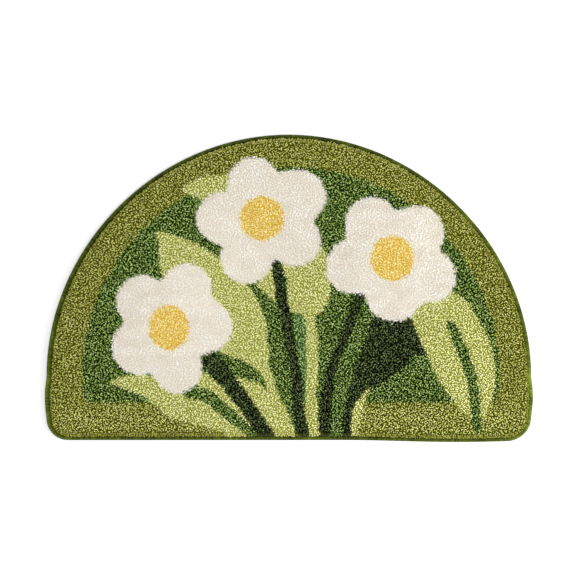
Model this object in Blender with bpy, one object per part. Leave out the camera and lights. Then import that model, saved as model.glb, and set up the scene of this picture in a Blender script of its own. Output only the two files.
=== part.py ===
"""Half moon bath mat: a tufted mat with a straight front edge and a half-round back, and the
overcast yarn edging that is sewn over the rim of its base cloth.

The mat lies flat on the floor. The origin is the middle of its underside, +X runs along the
straight front edge, +Y points to the top of the arch and +Z is up. Lengths are in metres.
"""

import math

import bmesh
import bpy
from mathutils import Vector

# The rim, seen from above
ARCH_RADIUS = 0.3962
ARCH_UNEVEN = 0.0012  # how far the arch strays from a true half circle
SIDE_BULGE = 0.0028  # the short straight sides swell outwards by this
FRONT_DEPTH = 0.1034  # from the arch's centre down to the front edge
FRONT_BOW = 0.0033  # the front edge runs forward by this near its right end
FRONT_BOW_X = 0.275
FRONT_BOW_REACH = 0.185
LEFT_CORNER_RADIUS = 0.036
RIGHT_CORNER_RADIUS = 0.041

# Heights and the edging
PILE_HEIGHT = 0.0145  # from the floor to the tips of the pile
EDGING_WIDTH = 0.0100
EDGING_HEIGHT = 0.0050
SEAM_GAP = 0.0003  # between the edging and the mat that it is sewn to

# How far the pile leans out over the edging on each side of the mat
LEAN_LEFT = 0.0010
LEAN_RIGHT = 0.0034
LEAN_IN_FRONT = 0.0065
LEAN_BEHIND = 0.0062

# Soft unevenness of the pile's surface: (height, waves across, waves along, phase)
SWELLS = (
    (0.00035, 2.1, 1.3, 0.4),
    (0.00025, -3.4, 2.6, 1.9),
)

# How finely each stretch of the rim is drawn
ARCH_STEPS = 72
SIDE_STEPS = 5
CORNER_STEPS = 10
FRONT_STEPS = 36

# The mat's edge from the floor up: (share of the pile's lean, further inset, height)
EDGE_PROFILE = (
    (0.0, 0.0, 0.0),
    (0.0, 0.0, 0.0058),
    (0.75, 0.0, 0.0082),
    (1.0, 0.0, 0.0102),
    (0.9, 0.0016, 0.0124),
    (0.5, 0.0030, 0.0138),
    (0.0, 0.0040, PILE_HEIGHT),
)
# The rings that carry the swells in to the middle, as shares of the way in
TOP_RINGS = (0.12, 0.26, 0.42, 0.58, 0.74, 0.88)

# The edging's cross-section, anticlockwise: (inset from the rim, height)
EDGING_PROFILE = (
    (EDGING_WIDTH - SEAM_GAP, 0.0),
    (EDGING_WIDTH - SEAM_GAP, 0.0040),
    (0.0078, 0.0048),
    (0.0052, EDGING_HEIGHT),
    (0.0026, 0.0046),
    (0.0009, 0.0036),
    (0.0, 0.0021),
    (0.0004, 0.0007),
    (0.0016, 0.0),
)

# Edges that fold by more than this stay crisp
FOLD = math.radians(50)

# Finishes: sRGB colour and roughness
OLIVE_PILE = ((132, 137, 62), 0.95)
MOSS_YARN = ((88, 98, 34), 0.75)


def arch_radius(angle):
    return ARCH_RADIUS + ARCH_UNEVEN * math.cos(4 * angle)


def front_edge(x):
    """How far below the arch's centre the front edge lies at x."""
    away = min(abs(x - FRONT_BOW_X) / FRONT_BOW_REACH, 1.0)
    return FRONT_DEPTH + FRONT_BOW * 0.5 * (1 + math.cos(math.pi * away))


def corner(side, radius):
    """The arc from a side round to the front edge. side is 1 on the right and -1 on the left."""
    middle_x = side * (arch_radius(0) - radius)
    middle_y = radius - front_edge(middle_x)
    points = []
    for step in range(CORNER_STEPS + 1):
        turn = math.radians(90) * step / CORNER_STEPS
        points.append(
            Vector(
                (
                    middle_x + side * radius * math.cos(turn),
                    middle_y - radius * math.sin(turn),
                )
            )
        )
    return points


def side_edge(side, low_y):
    """The points between an end of the arch and its corner, from the top down."""
    points = []
    for step in range(1, SIDE_STEPS):
        share = step / SIDE_STEPS
        bulge = SIDE_BULGE * math.sin(math.pi * share)
        points.append(Vector((side * (arch_radius(0) + bulge), low_y * share)))
    return points


def rim_points():
    """The closed rim, anticlockwise from the right end of the arch, centred on its own box."""
    arch = []
    for step in range(ARCH_STEPS + 1):
        angle = math.pi * step / ARCH_STEPS
        radius = arch_radius(angle)
        arch.append(Vector((radius * math.cos(angle), radius * math.sin(angle))))
    left = corner(-1, LEFT_CORNER_RADIUS)
    right = corner(1, RIGHT_CORNER_RADIUS)
    start, end = left[-1].x, right[-1].x
    front = []
    for step in range(1, FRONT_STEPS):
        x = start + (end - start) * step / FRONT_STEPS
        front.append(Vector((x, -front_edge(x))))
    points = arch + side_edge(-1, left[0].y) + left + front + right[::-1]
    points += side_edge(1, right[0].y)[::-1]
    low = Vector((min(p.x for p in points), min(p.y for p in points)))
    high = Vector((max(p.x for p in points), max(p.y for p in points)))
    middle = (low + high) / 2
    return [p - middle for p in points]


def outward_normals(points):
    normals = []
    for index, point in enumerate(points):
        along = points[(index + 1) % len(points)] - points[index - 1]
        normals.append(Vector((along.y, -along.x)).normalized())
    return normals


def pile_lean(normal):
    """How far the pile reaches out over the edging where the rim faces this way."""
    across = LEAN_LEFT if normal.x < 0 else LEAN_RIGHT
    along = LEAN_IN_FRONT if normal.y < 0 else LEAN_BEHIND
    return across * normal.x**2 + along * normal.y**2


def swell(x, y):
    """The height of the pile's soft unevenness at a place."""
    return sum(
        height * math.sin(2 * math.pi * (across * x + along * y) + phase)
        for height, across, along, phase in SWELLS
    )


def add_ring(mesh, places):
    """A closed ring of edges through these places."""
    verts = [mesh.verts.new(place) for place in places]
    return [
        mesh.edges.new((vert, verts[(index + 1) % len(verts)]))
        for index, vert in enumerate(verts)
    ]


def close_ring(mesh, ring):
    """One face across a ring of edges."""
    bmesh.ops.contextual_create(mesh, geom=ring)


def ring_at(rim, normals, inset, height):
    """The rim's points moved in by inset(normal) and up to a height."""
    places = []
    for point, normal in zip(rim, normals):
        moved = point - normal * inset(normal)
        places.append(Vector((moved.x, moved.y, height)))
    return places


def srgb_to_linear(value):
    """A colour channel from 0 to 255 as the light it stands for, from 0 to 1."""
    return ((value / 255 + 0.055) / 1.055) ** 2.4


def finish(name, mesh, colour, roughness):
    """An object from a bmesh, shaded smooth but for its folds, in one plain material."""
    bmesh.ops.recalc_face_normals(mesh, faces=mesh.faces)
    data = bpy.data.meshes.new(name)
    mesh.to_mesh(data)
    mesh.free()
    data.shade_smooth()
    data.set_sharp_from_angle(angle=FOLD)
    material = bpy.data.materials.new(name)
    material.use_nodes = True
    shader = material.node_tree.nodes["Principled BSDF"]
    linear = [srgb_to_linear(value) for value in colour]
    shader.inputs["Base Color"].default_value = (*linear, 1.0)
    shader.inputs["Roughness"].default_value = roughness
    shader.inputs["Metallic"].default_value = 0.0
    data.materials.append(material)
    piece = bpy.data.objects.new(name, data)
    bpy.context.scene.collection.objects.link(piece)
    return piece


def make_mat(rim, normals):
    """The tufted mat: base cloth and pile in one slab, whose pile leans out over the edging."""
    mesh = bmesh.new()
    rings = []
    for lean_share, further, height in EDGE_PROFILE:

        def inset(normal, lean_share=lean_share, further=further):
            return EDGING_WIDTH + further - lean_share * pile_lean(normal)

        rings.append(ring_at(rim, normals, inset, height))
    shoulder = rings[-1]
    middle = sum(shoulder, Vector()) / len(shoulder)
    for place in shoulder:
        place.z += swell(place.x, place.y)
    for share in TOP_RINGS:
        ring = []
        for place in shoulder:
            moved = place.lerp(middle, share)
            ring.append(Vector((moved.x, moved.y, PILE_HEIGHT + swell(moved.x, moved.y))))
        rings.append(ring)
    edges = [add_ring(mesh, ring) for ring in rings]
    for lower, upper in zip(edges, edges[1:]):
        bmesh.ops.bridge_loops(mesh, edges=lower + upper)
    close_ring(mesh, edges[0])
    peak = mesh.verts.new((middle.x, middle.y, PILE_HEIGHT + swell(middle.x, middle.y)))
    for edge in edges[-1]:
        mesh.faces.new((*edge.verts, peak))
    return finish("mat", mesh, *OLIVE_PILE)


def make_edging(rim, normals):
    """The overcast yarn edging: one closed band with a rounded back, all round the rim."""
    mesh = bmesh.new()
    rings = []
    for inset, height in EDGING_PROFILE:
        rings.append(
            add_ring(mesh, ring_at(rim, normals, lambda normal, inset=inset: inset, height))
        )
    for index, ring in enumerate(rings):
        bmesh.ops.bridge_loops(mesh, edges=rings[index - 1] + ring)
    return finish("edging", mesh, *MOSS_YARN)


def main():
    for old in list(bpy.data.objects):
        bpy.data.objects.remove(old, do_unlink=True)
    rim = rim_points()
    normals = outward_normals(rim)
    make_mat(rim, normals)
    make_edging(rim, normals)


main()
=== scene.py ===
# %% [markdown]
# # A half moon bath mat
#
# This lesson dresses a flat tufted mat: a straight front edge, a half-round back, short cut
# pile in a daisy pattern, and a dense yarn edging sewn over the rim. The imported model brings
# the true sizes, so the first step loads it. Lengths are in metres here,
# and in millimetres where a table says so, because a rug maker counts in millimetres.

# %% Load the mat's solids
import math

import bpy
import numpy as np
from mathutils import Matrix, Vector, geometry


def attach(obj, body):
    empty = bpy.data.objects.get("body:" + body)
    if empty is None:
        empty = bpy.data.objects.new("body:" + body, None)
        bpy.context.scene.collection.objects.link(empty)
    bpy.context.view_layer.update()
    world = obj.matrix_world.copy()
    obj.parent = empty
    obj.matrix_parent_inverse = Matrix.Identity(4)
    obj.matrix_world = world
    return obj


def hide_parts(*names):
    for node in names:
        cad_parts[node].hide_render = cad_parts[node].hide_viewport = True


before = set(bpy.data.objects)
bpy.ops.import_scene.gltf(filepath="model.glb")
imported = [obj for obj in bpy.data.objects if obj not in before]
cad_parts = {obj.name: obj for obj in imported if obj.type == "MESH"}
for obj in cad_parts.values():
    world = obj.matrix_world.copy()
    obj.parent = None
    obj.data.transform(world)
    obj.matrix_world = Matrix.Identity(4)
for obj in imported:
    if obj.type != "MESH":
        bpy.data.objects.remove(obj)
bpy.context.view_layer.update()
MM = 0.001

# %% [markdown]
# ## The rim and the seam
#
# Everything on the mat is measured from two lines: the rim, where the edging turns down to
# the floor, and the seam, where the edging ends and the pile begins. Both are already in the
# solids, so they are read from there and not drawn again. A solid has straight stretches of
# a centimetre or two, and sewing needs a point every few millimetres, so each line is turned
# into a smooth curve first. The curve used here is a Catmull-Rom spline, which passes
# through every point it is given; it overshoots where a long stretch meets a short one, so
# long stretches are divided before it is drawn.


# %% A smooth curve through a few points
def smooth_run(points, fine):
    """Points along a spline from the second of these points to the last but one."""
    before, here, there, after = points[:-3], points[1:-2], points[2:-1], points[3:]
    share = np.linspace(0, 1, fine, endpoint=False)[None, :, None]
    before, here, there, after = (part[:, None] for part in (before, here, there, after))
    run = 0.5 * (
        2 * here
        + (there - before) * share
        + (2 * before - 5 * here + 4 * there - after) * share**2
        + (3 * here - before - 3 * there + after) * share**3
    )
    return run.reshape(-1, points.shape[1])


# %% Read a line from a solid
SAME_PLACE = 0.2 * MM
SAME_HEIGHT = 0.1 * MM
LONGEST_STEP = 15 * MM
# How many points the smooth curve gets between two given ones
FINE = 8


def line_round(node, height):
    """The corners of a solid at one height, in order round the mat, with long steps divided."""
    corners = np.array([v.co[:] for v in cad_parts[node].data.vertices])
    level = corners[np.abs(corners[:, 2] - height) < SAME_HEIGHT][:, :2]
    level = level[np.argsort(np.arctan2(level[:, 1], level[:, 0]))]
    step = np.linalg.norm(level - np.roll(level, 1, axis=0), axis=1)
    level = level[step > SAME_PLACE]
    line = []
    for here, there in zip(level, np.roll(level, -1, axis=0)):
        parts = max(1, math.ceil(np.linalg.norm(there - here) / LONGEST_STEP))
        line += [here + (there - here) * part / parts for part in range(parts)]
    return np.array(line)


def evenly_round(points, count):
    """A smooth closed curve through points, as evenly spaced points and outward normals."""
    finer = smooth_run(np.vstack([points[-1:], points, points[:2]]), FINE)
    steps = np.linalg.norm(np.roll(finer, -1, axis=0) - finer, axis=1)
    reached = np.concatenate([[0], np.cumsum(steps)])
    closed = np.vstack([finer, finer[:1]])
    wanted = np.linspace(0, reached[-1], count, endpoint=False)
    even = np.stack([np.interp(wanted, reached, closed[:, k]) for k in (0, 1)], axis=1)
    along = np.roll(even, -1, axis=0) - np.roll(even, 1, axis=0)
    along /= np.linalg.norm(along, axis=1)[:, None]
    return even, np.stack([along[:, 1], -along[:, 0]], axis=1), reached[-1]


# The heights at which the solids touch the seam and the rim, and the points on each line
SEAM_HEIGHT = 0.0
RIM_HEIGHT = 2.1 * MM
POINTS_ROUND = 900
seam, seam_out, seam_length = evenly_round(line_round("mat", SEAM_HEIGHT), POINTS_ROUND)
rim_line = line_round("edging", RIM_HEIGHT)
rim, _, rim_length = evenly_round(rim_line, POINTS_ROUND)
print(f"rim {rim_length:.3f} m round, seam {seam_length:.3f} m")

# %% [markdown]
# ## The pattern, as a rug maker charts it
#
# A tufting frame works from a chart: each shape is filled with one yarn. The flowers are
# round petals about a round centre, so a centre and a radius each are enough. Leaves and
# stems are strokes of a brush: a smooth line through a few places, with a half width at
# each. The shapes are laid in order, and a later one covers an earlier one, as a painter
# works from the background forward. All numbers are millimetres from the mat's middle.

# %% Yarns and the round shapes
YARNS = ("olive", "leaf", "forest", "lime", "cream", "yolk", "sage")

# The leaf-green half moon inside the olive border
FIELD_CENTRE = (3, -142)
FIELD_RADIUS = 340
FIELD_FRONT = -186
FIELD_CORNER = 14

# Each daisy: its centre (across, along, half width, half depth), its petals as (across,
# along, radius), and the places where a petal is fuller than a disc, in the same way
DAISIES = (
    (
        (-44.2, 114.5, 36, 36),
        (
            (-58, 172.7, 42),
            (16, 151, 43),
            (10.3, 77.3, 41.7),
            (-69, 49.7, 42.5),
            (-109.5, 115, 42),
        ),
        ((-2, 170, 16.5), (33, 147, 23.5)),
    ),
    (
        (169, 49.3, 35.4, 36.7),
        (
            (135, 106, 43.7),
            (211, 91.7, 43),
            (229.5, 19.5, 43.5),
            (169.3, -9.6, 43.6),
            (104, 34, 43.8),
        ),
        ((190, 107, 19.5), (183, -25, 23), (87, 62, 11)),
    ),
    (
        (-196.2, -64, 33, 36.7),
        (
            (-240, -20.7, 42),
            (-167, -1, 41.5),
            (-136.5, -61.7, 44.3),
            (-182.3, -131.7, 40),
            (-245, -96, 45),
        ),
        (),
    ),
)
# A disc under each centre joins the petals, and the corners between them are filled softly
HEART = 63
FILLET = 5

# %% Leaves and stems, as brush strokes
# Each stroke: its yarn, then its places as (across, along, half width)
STROKES = (
    # the leaf behind the top daisy, on its left
    ("lime", ((-177, 163, 1), (-140, 163, 18), (-99, 165, 21))),
    # the broad leaf from the upper left down to the front edge, and its wide shoulder
    (
        "lime",
        (
            (-217, 92, 2),
            (-190, 67.5, 20),
            (-147, 28, 37),
            (-93, -27, 46),
            (-68, -117, 36),
            (-46, -184, 31),
            (-8, -243, 23),
        ),
    ),
    ("lime", ((-205, 82, 8), (-197, 57, 15), (-189, 30, 21))),
    # the leaf between the two upper daisies, and its end behind the middle stem
    ("lime", ((52, 66, 3), (46, 43, 18), (33, 13, 34), (32, -11, 34), (27, -20, 27))),
    ("lime", ((-26, -30, 4), (-34, 4, 17), (-14, 27, 14), (8, 34, 13))),
    # the low leaf under the left daisy, and its upper edge
    (
        "lime",
        (
            (-291, -153, 2),
            (-270, -152.5, 9.5),
            (-248, -155.5, 14.5),
            (-228, -161, 18),
            (-206, -177, 19),
            (-184, -192, 21),
            (-145, -203, 20.5),
            (-80, -236, 8),
        ),
    ),
    ("lime", ((-144, -148, 12), (-130, -158, 12), (-98, -187, 11), (-59, -228, 5))),
    # green leaves either side of the left daisy's stem
    (
        "leaf",
        (
            (-125, -114, 10),
            (-88, -128, 14),
            (-62, -140, 11.5),
            (-50, -147, 7),
            (-42, -156, 4),
            (-35, -170, 1),
        ),
    ),
    (
        "leaf",
        (
            (-169, -174, 2),
            (-158, -173, 7.5),
            (-136, -175, 10.5),
            (-83, -218, 9),
            (-54, -238, 6),
        ),
    ),
    # the green leaf left of the middle stem
    (
        "leaf",
        (
            (-67, 7, 2),
            (-54, -3, 5),
            (-39, -21, 10),
            (-29, -40, 13),
            (-15, -82, 10),
            (-16, -114, 18.5),
            (-5, -150, 13),
            (6, -199, 9),
            (16, -238, 4),
        ),
    ),
    # the green about the right daisy's stem
    ("leaf", ((99, -19, 31), (88, -64, 40), (78, -125, 33), (70, -174, 26), (66, -244, 20))),
    # the pale strip and the blue-green strip between the stems
    ("lime", ((34, -39, 9), (39, -122, 9.5), (36, -171, 8.5), (38, -208, 10), (43.5, -244, 11))),
    ("sage", ((16, -51, 10.5), (19, -91, 7.5), (24, -121, 5.5), (26, -186, 2))),
    # the left, middle and right stems
    ("forest", ((-126, -120, 14.7), (-95, -157, 13.5), (-35, -241, 11.5))),
    (
        "forest",
        (
            (-19, 41, 8.5),
            (-18.3, 23, 9),
            (-14, 3, 8.2),
            (-11, -21, 8.7),
            (-4.5, -48, 9.3),
            (3, -98, 8.8),
            (12.5, -146, 9),
            (16, -202, 9.5),
            (24.5, -241, 10),
        ),
    ),
    ("forest", ((117, -9, 8), (96, -63, 8.5), (69, -135, 8), (59, -199, 10), (59, -241, 9))),
    # the dark leaf under the right daisy, its near side and its far corner
    ("forest", ((187, -74, 28), (160, -101, 39), (122, -151, 19), (100, -191, 9), (94, -241, 8))),
    ("forest", ((150, -58, 18), (150, -95, 27))),
    ("forest", ((190, -76, 28), (210, -95, 15), (223, -104, 3))),
    # the slip of pale leaf beside it
    ("lime", ((130, -164, 2), (121, -180, 5.5), (111, -206, 8), (107, -239, 5))),
    # the long right leaf, its shoulder and its vein
    ("lime", ((258, -49, 43), (282, -111, 51), (300, -167, 34), (309, -221, 3))),
    ("lime", ((221, -41, 23), (246, -55, 41), (259, -93, 38))),
    ("leaf", ((264.5, -59.5, 7.3), (273.5, -80, 8.2), (298, -146, 9), (307, -228, 7))),
)
print(len(STROKES), "strokes and", len(DAISIES), "daisies")


# %% [markdown]
# ## From the chart to a yarn for each place
#
# A place lies in a brush stroke if it is nearer to the stroke's line than the half width
# there. The whole array of places is tested at once against each straight stretch, which is
# fast enough to ask for every tuft of the pile.
#
# A daisy is a few discs in one. A needle can't turn in a sharp inner corner, so the corners
# between petals come out rounded. Adding up a number that is 1 at each disc's edge, and grows
# inwards, gives that: beside one disc alone the sum is 1 at its edge, and in a corner, where
# two discs count, it is 1 a little further out.


# %% Which yarn is tufted where
def in_stroke(places, stroke):
    """True for the places that a brush stroke covers."""
    knots = np.array(stroke, float)
    knots = np.vstack([2 * knots[0] - knots[1], knots, 2 * knots[-1] - knots[-2]])
    line = np.vstack([smooth_run(knots, FINE), knots[-2]])
    covered = np.zeros(len(places), bool)
    for start, end in zip(line[:-1], line[1:]):
        along = end[:2] - start[:2]
        share = np.clip((places - start[:2]) @ along / (along @ along), 0, 1)
        near = start[:2] + share[:, None] * along
        half_width = start[2] + share * (end[2] - start[2])
        covered |= np.linalg.norm(places - near, axis=1) < half_width
    return covered


def in_field(places):
    """True inside the leaf-green half moon, whose two front corners are rounded."""
    across, along = (places - FIELD_CENTRE).T
    reach = np.hypot(across, along)
    front = FIELD_FRONT - FIELD_CENTRE[1]
    past_arch = np.maximum(FIELD_CORNER - (FIELD_RADIUS - reach), 0)
    past_front = np.maximum(FIELD_CORNER - (along - front), 0)
    rounded = np.hypot(past_arch, past_front) < FIELD_CORNER
    return (reach < FIELD_RADIUS) & (along > front) & rounded


def yarn_at(places):
    """The number in YARNS of the yarn at each place, given in metres."""
    places = places / MM
    yarn = np.zeros(len(places), int)
    yarn[in_field(places)] = YARNS.index("leaf")
    for name, stroke in STROKES:
        yarn[in_stroke(places, stroke)] = YARNS.index(name)
    for (x, y, half_width, half_depth), petals, fuller in DAISIES:
        cover = np.zeros(len(places))
        for disc_x, disc_y, radius in petals + fuller + ((x, y, HEART),):
            inside_by = radius - np.hypot(*(places - (disc_x, disc_y)).T)
            cover += np.exp(inside_by / FILLET)
        yarn[cover > 1] = YARNS.index("cream")
        middle = np.hypot((places[:, 0] - x) / half_width, (places[:, 1] - y) / half_depth) < 1
        yarn[middle] = YARNS.index("yolk")
    return yarn


# How many places are set against the whole seam at a time, to save memory
BATCH = 4000


def seam_distance(places):
    """How far each place lies inside the seam, and the nearest seam point's number."""
    far = np.empty(len(places))
    nearest = np.empty(len(places), int)
    for first in range(0, len(places), BATCH):
        part = slice(first, first + BATCH)
        gaps = places[part, None] - seam[None]
        nearest[part] = (gaps**2).sum(2).argmin(1)
        gap = places[part] - seam[nearest[part]]
        far[part] = -(gap * seam_out[nearest[part]]).sum(1)
    return far, nearest


# %% [markdown]
# ## Where the tufts stand
#
# A tufting needle works in rows, and each stitch leaves one tuft. On a plush mat the yarn is
# thick and soft, so the tufts push one another aside and the rows vanish. A grid whose every
# second row is shifted by half a step, with each place moved by chance, gives the same even
# but rowless cover. Only the last few rows are neat: they follow the seam, the outermost one
# most densely, so the pile ends in a clean line. The chance is seeded, so the mat is the same
# each time.
#
# Where two yarns meet, a neighbour's tuft often pokes through, which gives the colours their
# fine saw teeth. So the chart is read a little beside each tuft, by chance.

# %% Place the tufts
TUFT_STEP = 3.0 * MM
# How far a tuft strays from its place, as a share of the step
TUFT_STRAY = 0.34
# Rows that follow the seam: how far inside it each one lies, and the step from tuft to tuft
RIM_ROWS = ((1.2 * MM, 2.3 * MM), (3.2 * MM, 2.8 * MM), (5.6 * MM, 3.2 * MM))
RIM_STRAY = 0.16
# The grid covers a little more than the mat, and is kept from this far inside the seam
GRID_HALF_WIDTH = 0.41
GRID_HALF_DEPTH = 0.27
FIELD_MARGIN = 7.2 * MM
# How far beside a tuft the chart is read
SAW_TEETH = 1.1 * MM
chance = np.random.default_rng(8)

row_step = TUFT_STEP * math.sqrt(3) / 2
columns = np.arange(-GRID_HALF_WIDTH, GRID_HALF_WIDTH, TUFT_STEP)
rows = np.arange(-GRID_HALF_DEPTH, GRID_HALF_DEPTH, row_step)
grid_x, grid_y = np.meshgrid(columns, rows)
grid_x = grid_x + (np.arange(len(rows)) % 2)[:, None] * TUFT_STEP / 2
field = np.stack([grid_x.ravel(), grid_y.ravel()], axis=1)
field += chance.uniform(-TUFT_STRAY, TUFT_STRAY, field.shape) * TUFT_STEP
rim_rows = []
for inset, step in RIM_ROWS:
    row = evenly_round(seam - seam_out * inset, round(seam_length / step))[0]
    rim_rows.append(row + chance.uniform(-RIM_STRAY, RIM_STRAY, row.shape) * step)
roots = np.vstack([field[seam_distance(field)[0] > FIELD_MARGIN], *rim_rows])
inside, nearest = seam_distance(roots)
yarns = yarn_at(roots + chance.normal(0, SAW_TEETH, roots.shape))
is_olive = yarns == YARNS.index("olive")
print(len(roots), "tufts:", {name: int((yarns == k).sum()) for k, name in enumerate(YARNS)})

# %% [markdown]
# ## The shape of a tuft
#
# Under a cut pile each tuft is a soft yarn end: it stands up from the base cloth, bends over
# a little under the weight of its own twist, and opens at the tip. Here each one is a bent
# tube of four sides with a rounded end. Its middle line leans further the higher it gets. At
# the rim there is no neighbour outside, so the last rows fan out over the edging. How far
# they do is the same rule as in the solid: most in front and behind, less on the right, and
# least on the left.
#
# Painted light makes the olive of the front border paler, so a tuft's tone rises there.
# Painted light also raises the tone of the last rows behind, at the crest of the arch, which
# catch more light.

# %% Lean, height and thickness of each tuft
ROOT_HEIGHT = 5.5 * MM
TIP_HEIGHT = 13.6 * MM
# How unevenly the tips are shorn, and the lowest and the highest that is left
TIP_STRAY = 0.6 * MM
TIP_LIMITS = (-1.4 * MM, 1.0 * MM)
LEAN = (0.5 * MM, 2.5 * MM)
# A tuft's radius, in millimetres
THICKNESS = (0.95, 1.3)
# How far the last rows fan out on the left, on the right, in front and behind, how far in
# the fan begins, and how slowly it opens
FAN_REACH = (1.0 * MM, 4.6 * MM, 5.9 * MM, 6.4 * MM)
FAN_DEPTH = (4.0 * MM, 3.8 * MM, 6.5 * MM, 5.5 * MM)
FAN_CURVE = 1.3
# The last rows droop as they fan out, lean less by chance, and differ less in tone
FAN_DROP = 5.0 * MM
FAN_STEADIER = 0.6
FAN_EVENER = 0.45
# Where the painted light that makes the front border's olive paler begins, how soon it is at
# its palest, and how pale
PAINTED_FRONT_LIGHT_FROM = -182 * MM
PAINTED_FRONT_LIGHT_OVER = 22 * MM
PAINTED_FRONT_LIGHT = 0.28
# How much paler painted light makes the last rows behind, and how far in that reaches
PAINTED_CREST_LIGHT = 0.5
CREST_DEPTH = 9 * MM

# The swells of the pile's surface: (height, waves to a metre across and along, phase)
SWELLS = ((0.35 * MM, 2.1, 1.3, 0.4), (0.25 * MM, -3.4, 2.6, 1.9))


def swell(places):
    """The pile's soft unevenness, as in the solid."""
    height = np.zeros(len(places))
    for rise, across, along, phase in SWELLS:
        waves = across * places[:, 0] + along * places[:, 1]
        height += rise * np.sin(2 * math.pi * waves + phase)
    return height


def by_facing(facing, left, right, front, behind):
    """A size that changes smoothly round the rim with the way that the rim faces."""
    across = np.where(facing[:, 0] < 0, left, right)
    along = np.where(facing[:, 1] < 0, front, behind)
    return across * facing[:, 0] ** 2 + along * facing[:, 1] ** 2


out = seam_out[nearest]
fan_reach = by_facing(out, *FAN_REACH)
fan = np.clip(1 - inside / by_facing(out, *FAN_DEPTH), 0, 1)
turn = chance.uniform(0, 2 * math.pi, len(roots))
length = chance.uniform(*LEAN, len(roots))
lean = np.stack([np.cos(turn), np.sin(turn)], axis=1)
lean *= (length * (1 - FAN_STEADIER * fan))[:, None]
lean += out * (fan_reach * fan**FAN_CURVE)[:, None]
tips = TIP_HEIGHT + swell(roots)
tips += chance.normal(0, TIP_STRAY, len(roots)).clip(*TIP_LIMITS)
tips -= FAN_DROP * fan**2
thickness = chance.uniform(*THICKNESS, len(roots)) * MM
tones_and_light = 0.5 + chance.uniform(-0.5, 0.5, len(roots)) * (1 - FAN_EVENER * fan)
# Painted light: the olive of the front border is made paler
front_light = np.clip((PAINTED_FRONT_LIGHT_FROM - roots[:, 1]) / PAINTED_FRONT_LIGHT_OVER, 0, 1) * is_olive
tones_and_light += PAINTED_FRONT_LIGHT * front_light * (1 - fan)
# Painted light on the last rows behind, at the crest of the arch
crest_light = np.clip(out[:, 1], 0, 1) ** 2 * np.clip(1 - inside / CREST_DEPTH, 0, 1)
tones_and_light += PAINTED_CREST_LIGHT * crest_light
print(f"tips from {tips.min() / MM:.1f} to {tips.max() / MM:.1f} mm")
print(f"lean up to {np.linalg.norm(lean, axis=1).max() / MM:.1f} mm")

# %% [markdown]
# ## Many tufts in one mesh
#
# Thousands of separate objects would be slow, so all tufts of one yarn are joined in one
# mesh, built straight from arrays. Three numbers go on each point for the finish to read:
# `rise`, from 0 at the root to 1 at the tip, which sets the painted shade at the root,
# `tone`, a chance number for each tuft with painted light added on the front border and at
# the crest, and a third, which says how far the tuft fans out over the edging. Such a tuft
# is seen from its side, which is as bright near the root as near the tip, so there `rise`
# stays near its middle. A UV map gives every tuft a small square of its own, so the yarn's
# colour can be kept in an image when the model leaves Blender.

# %% A mesh of tufts
SIDES = 4
# Along a tuft: (share of the length, share of the thickness)
TUFT_RINGS = ((0.0, 0.74), (0.55, 1.0), (0.92, 0.9))
# How late a tuft's middle line bends over, and how soon it stops climbing
BEND = 1.7
CLIMB = 1.5
# Even the tip keeps this share of an upward tilt, and the root has a little bend
LEAST_CLIMB = 0.15
LEAST_BEND = 0.02
# How much each corner's radius differs, and how high the rounded end is, as shares of it
UNEVEN = (0.86, 1.14)
ROUND_END = 0.45
# The rise that a tuft's lit side shows, and how far a fanned tuft comes to it
SIDE_LIT = 0.52
SIDE_SEEN = 0.85
# The empty edge of each tuft's square in the UV map, as a share of it
UV_MARGIN = 0.08


def add_to_scene(name, data):
    """An object in the scene from a mesh, a lamp or a camera."""
    made = bpy.data.objects.new(name, data)
    bpy.context.scene.collection.objects.link(made)
    return made


def carry(mesh, name, values):
    """Puts one number on each point of a mesh."""
    mesh.attributes.new(name, "FLOAT", "POINT").data.foreach_set("value", np.ravel(values))


def tuft_template():
    """One tuft's faces, as corner numbers, where each face starts, and the UV of each corner."""
    corners, starts, uvs = [], [], []
    levels = [share for share, _ in TUFT_RINGS] + [1.0]
    for ring in range(len(TUFT_RINGS) - 1):
        for side in range(SIDES):
            other = (side + 1) % SIDES
            starts.append(len(corners))
            corners += [
                ring * SIDES + side,
                ring * SIDES + other,
                (ring + 1) * SIDES + other,
                (ring + 1) * SIDES + side,
            ]
            left, right = side / SIDES, (side + 1) / SIDES
            low, high = levels[ring], levels[ring + 1]
            uvs += [(left, low), (right, low), (right, high), (left, high)]
    last = len(TUFT_RINGS) - 1
    for side in range(SIDES):
        other = (side + 1) % SIDES
        starts.append(len(corners))
        corners += [last * SIDES + side, last * SIDES + other, len(TUFT_RINGS) * SIDES]
        left, right = side / SIDES, (side + 1) / SIDES
        uvs += [(left, levels[last]), (right, levels[last]), ((left + right) / 2, 1.0)]
    return np.array(corners), np.array(starts), np.array(uvs)


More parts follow.
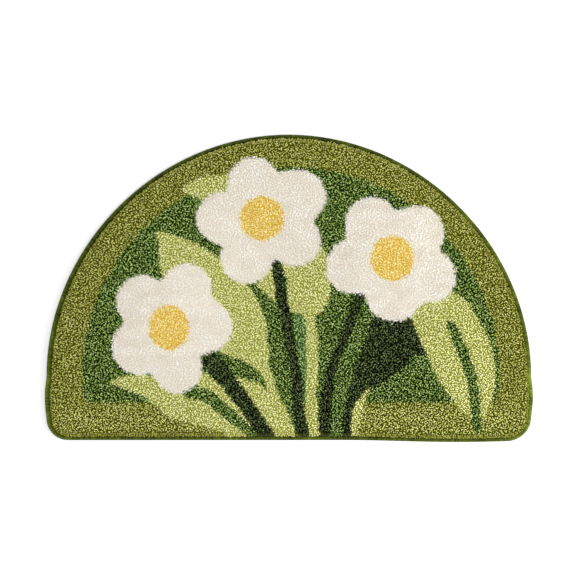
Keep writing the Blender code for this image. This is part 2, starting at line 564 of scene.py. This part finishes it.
def tuft_points(chosen):
    """The points of the chosen tufts, and how far up the tuft each lies."""
    count = len(chosen)
    away = lean[chosen]
    reach = np.linalg.norm(away, axis=1)
    ahead = away / reach[:, None]
    aside = np.stack([-ahead[:, 1], ahead[:, 0], np.zeros(count)], axis=1)
    tall = tips[chosen] - ROOT_HEIGHT
    points = np.empty((count, len(TUFT_RINGS) * SIDES + 1, 3))
    spin = chance.uniform(0, 2 * math.pi, count)
    rough = chance.uniform(*UNEVEN, (count, len(TUFT_RINGS) * SIDES))
    for ring, (share, width) in enumerate(TUFT_RINGS):
        middle = np.empty((count, 3))
        middle[:, :2] = roots[chosen] + away * share**BEND
        middle[:, 2] = ROOT_HEIGHT + tall * (1 - (1 - share) ** CLIMB)
        forward = BEND * reach * max(share, LEAST_BEND) ** (BEND - 1)
        upward = CLIMB * tall * (1 - share) ** (CLIMB - 1) + LEAST_CLIMB * tall
        tilt = np.stack([ahead[:, 0] * forward, ahead[:, 1] * forward, upward], axis=1)
        tilt /= np.linalg.norm(tilt, axis=1)[:, None]
        across = np.cross(aside, tilt)
        for side in range(SIDES):
            angle = spin + 2 * math.pi * side / SIDES
            radius = thickness[chosen] * width * rough[:, ring * SIDES + side]
            points[:, ring * SIDES + side] = middle + radius[:, None] * (
                np.cos(angle)[:, None] * aside + np.sin(angle)[:, None] * across
            )
    points[:, -1] = middle + tilt * (ROUND_END * thickness[chosen])[:, None]
    return points


def tuft_piece(name, chosen):
    """One object with all the chosen tufts."""
    corners, starts, uvs = tuft_template()
    points = tuft_points(chosen)
    count, each = points.shape[:2]
    mesh = bpy.data.meshes.new(name)
    mesh.vertices.add(count * each)
    mesh.vertices.foreach_set("co", points.ravel())
    loops = (corners[None] + each * np.arange(count)[:, None]).ravel()
    mesh.loops.add(len(loops))
    mesh.loops.foreach_set("vertex_index", loops.astype(np.int32))
    first = (starts[None] + len(corners) * np.arange(count)[:, None]).ravel()
    mesh.polygons.add(len(first))
    mesh.polygons.foreach_set("loop_start", first.astype(np.int32))
    mesh.update(calc_edges=True)
    mesh.shade_smooth()
    levels = np.concatenate([np.repeat([share for share, _ in TUFT_RINGS], SIDES), [1.0]])
    rise = levels[None] + (SIDE_LIT - levels[None]) * SIDE_SEEN * fan[chosen, None]
    carry(mesh, "rise", rise)
    carry(mesh, "tone", np.repeat(tones_and_light[chosen], each))
    carry(mesh, "fray", np.repeat(fan[chosen], each))
    squares = math.ceil(math.sqrt(count))
    number = np.arange(count)
    place = np.stack([number % squares, number // squares], axis=1)
    inner = UV_MARGIN + uvs * (1 - 2 * UV_MARGIN)
    squared = (place[:, None] + inner[None]) / squares
    layer = mesh.uv_layers.new(name="OFBake")
    layer.data.foreach_set("uv", squared.astype(np.float32).ravel())
    return add_to_scene(name, mesh)


# %% [markdown]
# ## Shader maths in Python
#
# A finish is easier to read as arithmetic than as a list of nodes and links. One small class
# holds a socket, and adding or multiplying two of them adds the Math node that does it.
# Anything that isn't arithmetic comes from `node`, which takes the kind of node, its
# settings and what goes into its sockets. Three short functions use it for what comes again
# and again: a number that the mesh carries, a noise, and a bump.


# %% A value in a finish
class Strand:
    """A socket of a material, ready for arithmetic."""

    def __init__(self, tree, socket=None):
        self.tree = tree
        self.socket = socket

    def node(self, kind, settings, inputs, output=0):
        """Adds a node, and gives back one of its outputs."""
        made = self.tree.nodes.new(kind)
        for name, value in settings.items():
            if name == "stops":
                set_stops(made.color_ramp, value)
            else:
                setattr(made, name, value)
        for name, value in inputs.items():
            if isinstance(value, Strand):
                self.tree.links.new(value.socket, made.inputs[name])
            else:
                made.inputs[name].default_value = value
        return Strand(self.tree, made.outputs[output])

    def maths(self, operation, first, second):
        return self.node("ShaderNodeMath", {"operation": operation}, {0: first, 1: second})

    def __add__(self, other):
        return self.maths("ADD", self, other)

    __radd__ = __add__

    def __sub__(self, other):
        return self.maths("SUBTRACT", self, other)

    def __rsub__(self, other):
        return self.maths("SUBTRACT", other, self)

    def __mul__(self, other):
        return self.maths("MULTIPLY", self, other)

    __rmul__ = __mul__

    def __pow__(self, other):
        return self.maths("POWER", self, other)

    def feed(self, shader, socket):
        """Leads this value into a socket of the shader."""
        self.tree.links.new(self.socket, shader.inputs[socket])


def set_stops(ramp, stops):
    """Fills a colour ramp with (place, colour) stops."""
    while len(ramp.elements) < len(stops):
        ramp.elements.new(1.0)
    for element, (place, colour) in zip(ramp.elements, stops):
        element.position = place
        element.color = colour


def carried(strand, name, output="Fac"):
    """What the mesh carries on its points under this name."""
    return strand.node("ShaderNodeAttribute", {"attribute_name": name}, {}, output)


def noise(strand, place, scale, detail):
    """Soft patches of light and dark, about this many to a metre."""
    inputs = {"Vector": place, "Scale": scale, "Detail": detail}
    return strand.node("ShaderNodeTexNoise", {}, inputs, "Fac")


def bump(strand, height, strength, distance):
    """A normal that makes a surface look raised by this height."""
    inputs = {"Strength": strength, "Distance": distance, "Height": height}
    return strand.node("ShaderNodeBump", {}, inputs, "Normal")


def srgb(*shade):
    """A shade card's red, green and blue, from 0 to 255, as Blender's light values."""
    return tuple(((value / 255 + 0.055) / 1.055) ** 2.4 for value in shade) + (1.0,)


# Soft yarn hardly shines, and a strong shine would turn its dark shades grey
DULL = 0.12


def new_finish(name, roughness):
    """A material with one shader, and a strand to build on."""
    material = bpy.data.materials.new(name)
    material.use_nodes = True
    shader = material.node_tree.nodes["Principled BSDF"]
    shader.inputs["Roughness"].default_value = roughness
    shader.inputs["Specular IOR Level"].default_value = DULL
    return material, shader, Strand(material.node_tree)


# %% [markdown]
# ## The pile's yarns
#
# Dyed yarn looks darkest at its root, where little light gets in, and palest at the tip,
# where the fibres fan out and scatter light; the dark root is painted shade. Each yarn has
# three shades for that: root, body and tip. The tuft's own chance tone, with painted light
# added on the front border and at the crest, moves it a little along the same scale, and a
# fine noise stands for the fibres. A second noise, drawn out along the rows, leaves the
# streaks of the tufting, which are faint in the greens and plain to see in the cream and the
# yellow, where single tufts differ less. The rows that fan out at the rim get painted shade:
# they are mixed toward a duller colour.

# %% Finishes for the pile
# Each yarn: the shade at the root, darkened as painted shade, along the body and at the tip
SHADES = {
    "olive": ((84, 84, 12), (157, 161, 58), (228, 230, 144)),
    "leaf": ((20, 44, 2), (98, 130, 42), (200, 222, 138)),
    "forest": ((2, 8, 0), (34, 50, 12), (128, 148, 92)),
    "lime": ((160, 162, 70), (231, 233, 146), (253, 255, 204)),
    "cream": ((235, 228, 215), (246, 240, 230), (251, 250, 245)),
    "yolk": ((226, 192, 74), (250, 232, 138), (254, 245, 190)),
    "sage": ((54, 84, 36), (124, 160, 86), (202, 226, 158)),
}
# How strongly the tufts of each yarn differ
GRAIN = {
    "olive": 1.1,
    "leaf": 1.3,
    "forest": 1.3,
    "lime": 1.2,
    "cream": 0.6,
    "yolk": 1.15,
    "sage": 1.2,
}
# How strong the streaks are, and how many there are to a metre across and along
STREAKS = {"cream": (1.7, (26.0, 64.0, 1.0)), "yolk": (1.2, (40.0, 110.0, 1.0))}
FAINT_STREAKS = (0.4, (40.0, 110.0, 1.0))
# How much the way up a tuft, which paints shade at the root, the tuft's own tone, with its
# painted light, and its fibres lighten the yarn, what they come to on a typical tuft, and
# how light that one is
RISE_CURVE = 1.6
BY_RISE = 0.62
BY_TONE = 0.42
BY_FIBRE = 0.38
TYPICAL = 0.92
TYPICAL_LIGHTNESS = 0.65
# Where the body's shade lies between the root's and the tip's
BODY_AT = 0.48
# Fibres to a metre, and how deep they look
FIBRES = 900.0
FIBRE_DEPTH = 0.4 * MM
# The duller colour that the fanned rim rows are mixed toward as painted shade, and how far
RIM_SHADE_COLOUR = (124, 120, 70)
RIM_SHADE_MIX = 0.35


def pile_finish(name, root, body, tip):
    """Cut yarn: painted shade from root to tip, with each tuft a little different."""
    grain = GRAIN[name]
    streaks, to_a_metre = STREAKS.get(name, FAINT_STREAKS)
    material, shader, strand = new_finish(name + "_yarn", 0.9)
    rise = carried(strand, "rise")
    tone = carried(strand, "tone")
    fray = carried(strand, "fray")
    place = strand.node("ShaderNodeTexCoord", {}, {}, "Object")
    fibre = noise(strand, place, FIBRES, 2.0)
    along_rows = strand.node("ShaderNodeMapping", {}, {"Vector": place, "Scale": to_a_metre})
    streak = noise(strand, along_rows, 1.0, 1.0)
    differing = rise**RISE_CURVE * BY_RISE + tone * BY_TONE + fibre * BY_FIBRE - TYPICAL
    lightness = differing * grain + (streak - 0.5) * streaks + TYPICAL_LIGHTNESS
    stops = ((0.0, srgb(*root)), (BODY_AT, srgb(*body)), (1.0, srgb(*tip)))
    dyed = strand.node("ShaderNodeValToRGB", {"stops": stops}, {"Fac": lightness}, "Color")
    # Painted shade: the rows fanned out at the rim are mixed toward a duller colour
    mixed = {"Fac": fray * RIM_SHADE_MIX, "Color1": dyed, "Color2": srgb(*RIM_SHADE_COLOUR)}
    strand.node("ShaderNodeMixRGB", {}, mixed, "Color").feed(shader, "Base Color")
    bump(strand, fibre, 0.5 * grain, FIBRE_DEPTH).feed(shader, "Normal")
    return material


finishes = {name: pile_finish(name, *shades) for name, shades in SHADES.items()}

# %% [markdown]
# ## Tuft the mat
#
# Each yarn becomes one piece, and the olive border, which has by far the most tufts, is
# split into a left, a middle and a right piece so that no mesh gets too heavy.

# %% Make the pile
# The olive's middle piece reaches this far to either side
OLIVE_SPLIT = 0.10
TUFT_TRIANGLES = 2 * SIDES * (len(TUFT_RINGS) - 1) + SIDES


def tuft_with(name, yarn, chosen):
    """Tufts the chosen places with one yarn."""
    piece = tuft_piece(name, np.flatnonzero(chosen))
    piece.data.materials.append(finishes[yarn])
    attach(piece, "root")
    tufts = int(chosen.sum())
    print(name, tufts, "tufts,", tufts * TUFT_TRIANGLES, "triangles")


tuft_with("pile_olive_left", "olive", is_olive & (roots[:, 0] < -OLIVE_SPLIT))
tuft_with("pile_olive_middle", "olive", is_olive & (np.abs(roots[:, 0]) <= OLIVE_SPLIT))
tuft_with("pile_olive_right", "olive", is_olive & (roots[:, 0] > OLIVE_SPLIT))
for number, yarn in enumerate(YARNS[1:], 1):
    tuft_with("pile_" + yarn, yarn, yarns == number)

# %% [markdown]
# ## The base cloth
#
# The tufts stand in a woven base cloth, packed so tightly that their lower halves make one
# mass. That mass and the cloth are one closed body: a flat underside, a short wall at the
# seam, and a top that lies below the tips and carries the yarns' dark shades, so a gap in
# the pile looks like the shadow it is. Its flat faces are filled by Blender's own Delaunay
# triangulation, which respects the outline.

# %% Make the base cloth
BASE_TOP = 8.0 * MM
WALL_TOP = 5.2 * MM
TOP_INSET = 2.0 * MM
# The top is a grid of this step, which reaches past the mat and is cut to it
BASE_STEP = 5.0 * MM
BASE_HALF_WIDTH = 0.40
BASE_HALF_DEPTH = 0.26
# The base's outline takes every third point of the seam
COARSER = 3
UNDERSIDE = (150, 146, 112)
# What Blender's triangulation is told: keep what lies inside, and what counts as one point
INSIDE = 1
ONE_POINT = 1e-6


def filled_outline(outline, step):
    """Triangles inside an outline, even ones where a step is given: the points and the faces."""
    inner = []
    if step:
        across = np.arange(-BASE_HALF_WIDTH, BASE_HALF_WIDTH, step)
        along = np.arange(-BASE_HALF_DEPTH, BASE_HALF_DEPTH, step)
        xs, ys = np.meshgrid(across, along)
        inner = np.stack([xs.ravel(), ys.ravel()], axis=1)
        far, _ = seam_distance(inner)
        inner = inner[far > TOP_INSET + step]
    places = [Vector(p) for p in outline] + [Vector(p) for p in inner]
    edges = [(k, (k + 1) % len(outline)) for k in range(len(outline))]
    points, _, faces, *_ = geometry.delaunay_2d_cdt(places, edges, [], INSIDE, ONE_POINT)
    return np.array([p[:] for p in points]), faces


def make_base():
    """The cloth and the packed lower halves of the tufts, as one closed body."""
    outline = seam[::COARSER]
    outward = seam_out[::COARSER]
    top, top_faces = filled_outline(outline - outward * TOP_INSET, BASE_STEP)
    low, low_faces = filled_outline(outline, 0)
    around = len(outline)
    points = [(*p, 0.0) for p in low]
    points += [(*p, BASE_TOP) for p in top]
    shift = len(low)
    wall = shift + len(top)
    points += [(*p, WALL_TOP) for p in outline]
    faces = [tuple(reversed(f)) for f in low_faces]
    faces += [tuple(shift + k for k in f) for f in top_faces]
    for k in range(around):
        n = (k + 1) % around
        faces.append((k, n, wall + n, wall + k))
        faces.append((wall + k, wall + n, shift + n, shift + k))
    mesh = bpy.data.meshes.new("base_cloth")
    mesh.from_pydata(points, [], faces)
    mesh.validate()
    shade = np.ones((len(points), 4))
    shade[:, :3] = srgb(*UNDERSIDE)[:3]
    # Painted shade: the top and the wall carry each yarn's dark root colour, so gaps in the pile
    # look shaded
    under = np.array([srgb(*SHADES[name][0]) for name in YARNS])
    shade[shift:wall] = under[yarn_at(top)]
    shade[wall:] = srgb(*SHADES["olive"][0])
    colours = mesh.attributes.new("shade", "FLOAT_COLOR", "POINT")
    colours.data.foreach_set("color", shade.ravel())
    return add_to_scene("base_cloth", mesh)


# %% The base cloth's finish
THREADS = 160.0
THREAD_DEPTH = 0.5 * MM


def weave_finish():
    """A plain weave, in the shade that the mesh carries."""
    material, shader, strand = new_finish("base_weave", 0.9)
    carried(strand, "shade", "Color").feed(shader, "Base Color")
    place = strand.node("ShaderNodeTexCoord", {}, {}, "Object")
    inputs = {"Vector": place, "Scale": THREADS}
    weft = strand.node("ShaderNodeTexWave", {"bands_direction": "X"}, inputs, "Fac")
    warp = strand.node("ShaderNodeTexWave", {"bands_direction": "Y"}, inputs, "Fac")
    bump(strand, weft * warp, 0.6, THREAD_DEPTH).feed(shader, "Normal")
    return material


base_cloth = make_base()
base_cloth.data.materials.append(weave_finish())
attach(base_cloth, "root")
print("base cloth:", len(base_cloth.data.polygons), "faces")

# %% [markdown]
# ## The overcast edging
#
# A thick yarn is sewn over and over the rim, one turn beside the next, so the band shows a
# fine rib across it. Each turn is a soft ridge. The band is one closed tube whose
# cross-section follows the solid's, and the ridge is added as a small swelling that runs
# round it and slants a little, as a needle that moves on with each turn leaves it. Three
# numbers go with each point: the turn's own `tone`, `crease`, which is 1 between two turns
# and sets the painted shade in the crease, and a third, painted shade for how deep the place
# lies in the pile's shade, with painted shade behind and painted light at the low sides.

# %% Make the edging
STITCH = 2.5 * MM
# How many points draw one turn, how deep its crease is, and how many turns it slants by
STATIONS = 4
RIDGE = 0.5 * MM
SLANT = 0.9
# The cross-section, anticlockwise: (inset from the rim and height in millimetres, how much of
# the ridge shows, how much of the pile's shade is painted there)
BAND = (
    (9.6, 0.2, 0.0, 1.0),
    (9.6, 3.9, 0.2, 1.0),
    (8.2, 4.5, 1.0, 0.9),
    (6.4, 4.9, 1.0, 0.6),
    (4.6, 4.8, 1.0, 0.25),
    (2.9, 4.4, 1.0, 0.0),
    (1.4, 3.7, 1.0, 0.0),
    (0.4, 2.7, 1.0, 0.05),
    (0.2, 1.6, 1.0, 0.2),
    (0.7, 0.7, 0.8, 0.4),
    (2.0, 0.2, 0.0, 0.5),
)
BAND_MIDDLE = (5.0, 2.0)
# At the sides less pile leans over the edging, so less of its shade is painted there
SHADE_AT_SIDES = 0.45
# Painted shade darkens the edging behind, and painted light lightens it a little at the low sides
PAINTED_SHADE_BEHIND = 0.2
PAINTED_LOW_SIDE_LIGHT = 0.4
PAINTED_LOW_SIDE_LIGHT_FROM = -95 * MM
PAINTED_LOW_SIDE_LIGHT_OVER = 40 * MM
turns = round(rim_length / STITCH)
band_line, band_out, _ = evenly_round(rim_line, turns * STATIONS)


def make_edging():
    """The band of overcast turns, as one closed tube."""
    band = np.array(BAND)
    count, around = len(band_line), len(band)
    station = np.arange(count)
    points = np.empty((count, around, 3))
    yarn_tone = np.repeat(chance.uniform(0, 1, turns), STATIONS)
    crease = np.empty((count, around))
    for k, (inset, height, share, _) in enumerate(band):
        phase = math.pi * (station / STATIONS + SLANT * k / around)
        crease[:, k] = 1 - np.abs(np.sin(phase))
        sunk = RIDGE * share * crease[:, k]
        away = np.array((inset, height)) - BAND_MIDDLE
        away /= np.hypot(*away)
        points[:, k, :2] = band_line - band_out * (inset * MM - sunk * away[0])[:, None]
        points[:, k, 2] = np.maximum(height * MM - sunk * away[1], 0.0)
    numbers = np.arange(count * around).reshape(count, around)
    beside = np.roll(numbers, -1, axis=1)
    ahead = np.roll(numbers, -1, axis=0)
    faces = np.stack([numbers, beside, np.roll(ahead, -1, axis=1), ahead], axis=2)
    mesh = bpy.data.meshes.new("overcast_edging")
    mesh.from_pydata(points.reshape(-1, 3).tolist(), [], faces.reshape(-1, 4).tolist())
    mesh.shade_smooth()
    # Painted shade under the pile and behind, and painted light at the low sides
    behind = np.clip(band_out[:, 1:], 0, 1)
    low = np.clip((PAINTED_LOW_SIDE_LIGHT_FROM - band_line[:, 1:]) / PAINTED_LOW_SIDE_LIGHT_OVER, 0, 1)
    shaded = SHADE_AT_SIDES + (1 - SHADE_AT_SIDES) * band_out[:, 1:] ** 2
    tuck = shaded * band[None, :, 3] + PAINTED_SHADE_BEHIND * behind**2
    tuck = tuck - PAINTED_LOW_SIDE_LIGHT * low * np.abs(band_out[:, :1])
    carry(mesh, "tone", np.repeat(yarn_tone, around))
    carry(mesh, "crease", crease)
    carry(mesh, "tuck", tuck)
    return add_to_scene("overcast_edging", mesh)


# %% The edging's finish
MOSS = ((24, 30, 2), (74, 86, 12), (122, 140, 48))
# How much a turn's own tone, the fibres and broad patches lighten the yarn, and how much the
# painted shade under the pile and in the creases darkens it
TURN_TONE = 0.3
FIBRE_TONE = 0.4
PATCH_TONE = 0.6
PILE_SHADE = 0.6
CREASE_SHADE = 0.4
DARKER = 0.05


def moss_finish():
    """Smooth yarn, with painted shade in the creases, under the pile and behind, and painted
    light at the low sides.
    """
    material, shader, strand = new_finish("moss_yarn", 0.8)
    place = strand.node("ShaderNodeTexCoord", {}, {}, "Object")
    fibre = noise(strand, place, 700.0, 3.0)
    lit = carried(strand, "tone") * TURN_TONE + fibre * FIBRE_TONE
    lit = lit + noise(strand, place, 30.0, 1.0) * PATCH_TONE
    dark = carried(strand, "tuck") * PILE_SHADE + carried(strand, "crease") * CREASE_SHADE
    lightness = lit - dark - DARKER
    stops = tuple((share, srgb(*shade)) for share, shade in zip((0.0, 0.5, 1.0), MOSS))
    colour = strand.node("ShaderNodeValToRGB", {"stops": stops}, {"Fac": lightness}, "Color")
    colour.feed(shader, "Base Color")
    bump(strand, fibre, 0.4, 0.3 * MM).feed(shader, "Normal")
    return material


edging = make_edging()
edging.data.materials.append(moss_finish())
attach(edging, "root")
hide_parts("mat")
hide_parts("edging")
print("edging:", turns, "turns,", 2 * len(edging.data.polygons), "triangles")

# %% [markdown]

# %% [markdown]
# ## Floor, light and camera
#
# A plain pale floor, a wide soft lamp over the mat and a second one from the right, so the
# right edge is lit and the left one falls into a little shade. The camera looks straight
# down, as for a catalogue picture.

# %% Floor
HALF_FLOOR = 6.0
# A hair below the mat, so the two don't share a plane
FLOOR_BELOW = 0.2 * MM
corners = [(x * HALF_FLOOR, y * HALF_FLOOR, 0) for x, y in ((-1, -1), (1, -1), (1, 1), (-1, 1))]
floor_mesh = bpy.data.meshes.new("floor")
floor_mesh.from_pydata(corners, [], [(0, 1, 2, 3)])
floor = add_to_scene("floor", floor_mesh)
floor.location.z = -FLOOR_BELOW
material, shader, _ = new_finish("pale_floor", 0.9)
shader.inputs["Base Color"].default_value = (0.9, 0.9, 0.9, 1)
floor_mesh.materials.append(material)


# %% Light
def soft_lamp(name, place, size, power):
    """A square lamp that faces the mat's middle."""
    light = bpy.data.lights.new(name, "AREA")
    light.size = size
    light.energy = power
    lamp = add_to_scene(name, light)
    lamp.location = place
    lamp.rotation_euler = (-Vector(place)).to_track_quat("-Z", "Y").to_euler()


soft_lamp("lamp_right", (2.2, -0.2, 1.4), 1.2, 44)
soft_lamp("lamp_over", (0.3, -0.3, 2.8), 2.4, 53)
world = bpy.data.worlds.new("studio")
bpy.context.scene.world = world
world.use_nodes = True
walls = world.node_tree.nodes["Background"].inputs
walls["Color"].default_value = (1, 1, 1, 1)
walls["Strength"].default_value = 0.5
bpy.context.scene.view_settings.view_transform = "Standard"

# %% Camera
CAMERA_HEIGHT = 2.6
# How wide the picture is at the rim's height, and how far the mat lies from its middle
FRAME_WIDTH = 0.9434
MAT_FROM_MIDDLE = (0.0015, -0.0006)
SENSOR = 36.0
lens = bpy.data.cameras.new("camera")
lens.sensor_width = SENSOR
lens.lens = SENSOR * (CAMERA_HEIGHT - RIM_HEIGHT) / FRAME_WIDTH
lens.clip_start = 0.01
camera = add_to_scene("camera", lens)
camera.location = (-MAT_FROM_MIDDLE[0], -MAT_FROM_MIDDLE[1], CAMERA_HEIGHT)
bpy.context.scene.camera = camera
print(f"lens {lens.lens:.1f} mm")
